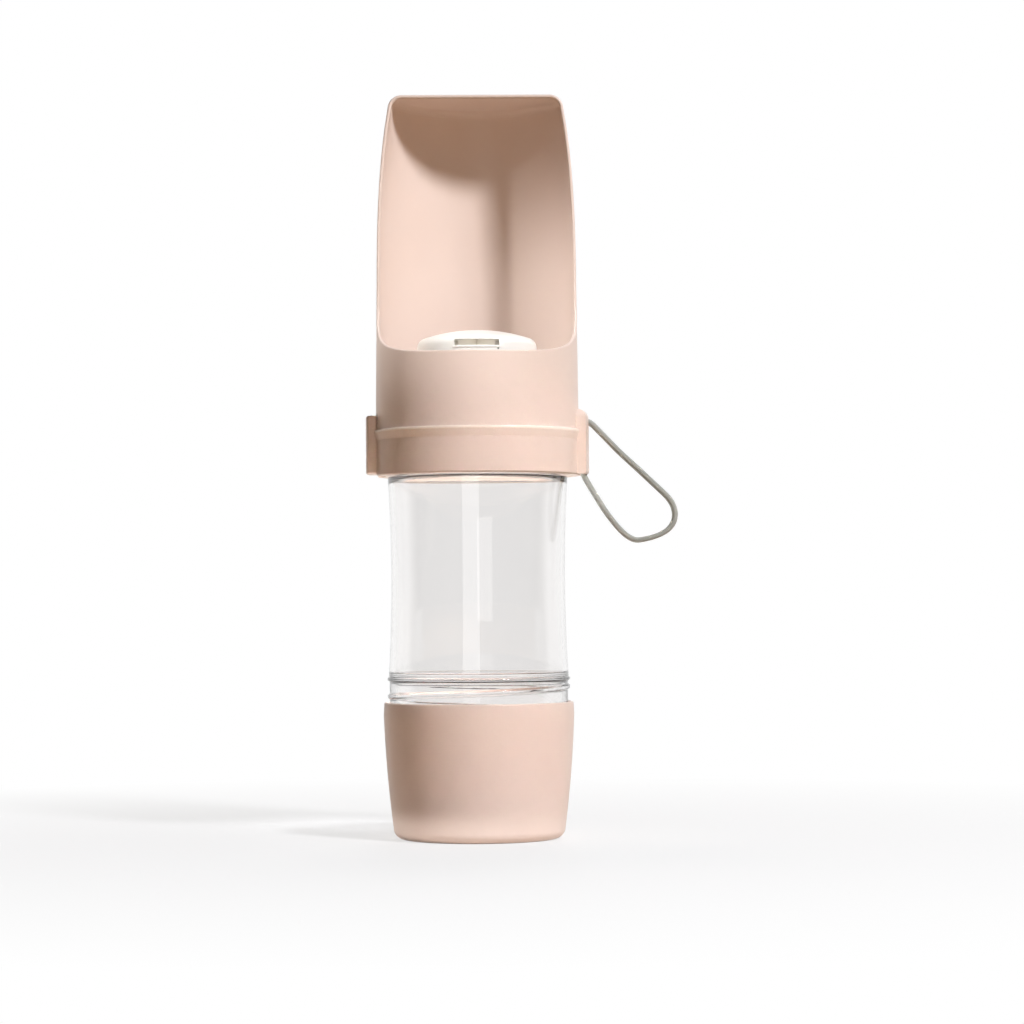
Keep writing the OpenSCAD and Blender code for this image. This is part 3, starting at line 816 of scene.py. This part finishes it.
def addSprings():
    wire = circle(coil["wire"] / 2, steps=10)
    piece = tubeAlong("valveSpring", coilPath(coil["valve"]), wire)
    finished(piece, "head", wireSteel, "spring_steel", "valve_spring")
    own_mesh(piece)
    path = [(-z, y, x + shape["shaft"]) for x, y, z in coilPath(coil["button"])]
    piece = tubeAlong("buttonSpring", path, wire)
    finished(piece, "head", wireSteel, "spring_steel", "button_spring")
    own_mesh(piece)


dome = {
    "radius": 21.8,
    "slotWide": 16.0,
    "slotLow": 177.6,
    "lipDrop": 0.42,        # the lip's middle is this far below the slot
    "lipSection": [(-0.28, -0.4, 0.12), (0.4, -0.4, 0), (0.4, 0.4, 0), (-0.28, 0.4, 0.2)],
    "pinTurn": 20.6,        # degrees from the middle of the front, towards +X
    "pinHigh": 176.4,
    "pinOutline": [(0, 0.12), (0.26, 0.12), (0.34, 0.04), (0.34, -0.4), (0, -0.4)],
}


def addDomeLip():
    # a low lip under the outlet slot, and beside it a grey plug painted as the shade inside the pin hole
    half, r = dome["slotWide"] / 2 + 0.3, dome["radius"]
    turn = math.degrees(math.asin(half / r))
    path = [(r * math.cos(a), r * math.sin(a), dome["slotLow"] - dome["lipDrop"])
            for a in [math.radians(lerp(-90 - turn, -90 + turn, i / 24)) for i in range(25)]]
    lip = tubeAlong("domeLip", path, rounded(dome["lipSection"], steps=4), side=(0, 0, 1))
    finished(lip, "head", domeWhite, "dome_white")
    a = math.radians(-90 + dome["pinTurn"])
    pin = lathe("domePinHole", dome["pinOutline"], around=24)
    turned = Matrix.Rotation(a, 4, "Z") @ Matrix.Rotation(math.radians(90), 4, "Y")
    spot = Vector((r * math.cos(a), r * math.sin(a), dome["pinHigh"])) * mm
    pin.data.transform(Matrix.Translation(spot) @ turned)
    finished(pin, "head", pinHoleShadeGrey, "filter_grey")


def dressNodes():
    for name, material in finishOfNode.items():
        slots = nodes[name].data.materials
        slots.clear()
        slots.append(material)


dressNodes()
print("nodes dressed")
addFoodCup()
addBottle()
print("cup and bottle made")
addTroughRim()
addCollarLip()
addButton()
addSprings()
addDomeLip()
print("head made")


light = {
    "key": {"power": 25.0, "wide": 0.2, "high": 0.2, "turn": 39.3, "lift": 37, "far": 1.6,
            "tint": (1.0, 1.005, 1.045)},
    "left": {"power": 4.6, "wide": 0.5, "high": 0.6, "turn": -142, "lift": 15, "far": 1.4,
             "tint": (1.0, 0.81, 0.69)},
    "back": {"power": 11, "wide": 0.6, "high": 0.6, "turn": 172, "lift": 12, "far": 1.4},
    # a soft box beside the lens, which leaves the narrow streak on the clear body
    "strip": {"power": 0.7, "wide": 0.5, "high": 0.3, "turn": -9.4, "lift": 1, "far": 1.3,
              "aim": (0, 0, 0.09)},
    # narrow beams: on the outside below the scoop, through the scoop's opening, and along the foot
    "front": {"power": 0.016, "wide": 0.16, "high": 0.15, "turn": 5, "lift": 0, "far": 1.3, "spread": 3,
              "aim": (0, 0, 0.09), "tint": (1.0, 0.86, 0.73)},
    "scoop": {"power": 0.0145, "wide": 0.085, "high": 0.08, "turn": -55, "lift": 25, "far": 0.5,
              "spread": 8, "aim": (0.0215, 0.0, 0.192)},
    "foot": {"power": 0.0018, "wide": 0.1, "high": 0.014, "turn": -60, "lift": 0, "far": 0.5,
             "spread": 1.5, "aim": (0, 0, 0.001)},
    "toe": {"power": 0.0007, "wide": 0.1, "high": 0.014, "turn": 45, "lift": 0, "far": 0.5,
            "spread": 1.5, "aim": (0, 0, 0.001)},
    # under the dome's crown, for the daylight that its thin wall lets in
    "dome": {"power": 0.0027, "wide": 0.03, "high": 0.03, "turn": 0, "lift": -90, "far": 0.004,
             "spread": 170, "aim": (0, 0, 0.1805), "tint": (1.0, 0.92, 0.85)},
    # inside the clear body, up at the far side of the collar
    "neck": {"power": 0.03, "wide": 0.05, "high": 0.01, "turn": 0, "lift": -20, "far": 0.056, "spread": 120,
             "aim": (0, 0.031, 0.133)},
}

room = {
    "radius": 3000.0,               # of the floor, in mm
    "seen": (0.85, 0.85, 0.85),     # the floor to the camera
    "nearFoot": (0.8, 0.7, 0.62),   # and to the object's sides, close to the foot
    "bounce": (0.53, 0.36, 0.21),   # and farther out
    "reach": (0.045, 0.1),          # from near to far, in metres from the axis
    "glow": 0.65,                   # share of plain white close to the object, which grows to all of it
    "glowReach": (0.1, 0.4),
    "behind": (-0.1, 0.05),         # reflections see the white floor only past this, along Y
    "backdrop": (0.1, 0.3),         # and the white surroundings only in directions past this
    "fill": (0.021, 0.0135, 0.0095),    # what the dark side of the room gives
}


def addFloor():
    verts = [(x, y, 0) for x, y in circle(room["radius"], steps=96)]
    floor = meshObject("floor", verts, [tuple(range(len(verts)))])
    mat = Mat("floorWhite", Roughness=0.7)
    spot = mat.place()
    out = (mat.pick(spot, 0) ** 2 + mat.pick(spot, 1) ** 2) ** 0.5
    bounce = mat.mix(mat.ramp(out, *room["reach"]), room["nearFoot"], room["bounce"])
    mat.drive("Base Color", mat.mix(mat.seen("Camera"), bounce, room["seen"]))
    glow = mat.node("ShaderNodeEmission", inputs={"Color": (1.0, 1.0, 1.0), "Strength": 1.0})
    share = room["glow"] + mat.ramp(out, *room["glowReach"]) * (1 - room["glow"])
    white = mat.whiteFor(mat.ramp(mat.pick(spot, 1), *room["behind"])) * share
    both = mat.node("ShaderNodeMixShader", inputs=[white, Sock(mat, mat.shader.outputs[0]), glow])
    mat.plug(mat.output.inputs["Surface"], both)
    floor.data.materials.append(mat.data)


def addWorld():
    scene.world = bpy.data.worlds.new("studio")
    world = Graph(scene.world)
    way = world.node("ShaderNodeTexCoord", out="Generated")
    white = world.whiteFor(world.ramp(world.pick(way, 1), *room["backdrop"]))
    colour = world.mix(white, room["fill"], (1.0, 1.0, 1.0))
    world.plug(world.tree.nodes["Background"].inputs["Color"], colour)


def addArea(name, lamp):
    data = bpy.data.lights.new(name + "Light", "AREA")
    data.energy = lamp["power"]
    data.color = lamp.get("tint", (1.0, 1.0, 1.0))
    data.shape = "RECTANGLE"
    data.size, data.size_y = lamp["wide"], lamp["high"]
    data.spread = math.radians(lamp.get("spread", 180))
    obj = bpy.data.objects.new(name + "Light", data)
    # the soft box alone shows through the clear body, and it lights no matt surface
    obj.visible_camera = False
    obj.visible_glossy = name in ("key", "strip")
    obj.visible_transmission = name == "strip"
    obj.visible_diffuse = name != "strip"
    scene.collection.objects.link(obj)
    a, b = math.radians(lamp["turn"]), math.radians(lamp["lift"])
    # the camera stands at turn 0, and turn grows towards +X
    way = Vector((math.sin(a) * math.cos(b), -math.cos(a) * math.cos(b), math.sin(b)))
    obj.location = Vector(lamp.get("aim", (0, 0, 0.14))) + way * lamp["far"]
    obj.rotation_euler = way.to_track_quat("Z", "Y").to_euler()


addFloor()
addWorld()
for name, lamp in light.items():
    addArea(name, lamp)
scene.view_settings.view_transform = "Standard"
print("stage lit")
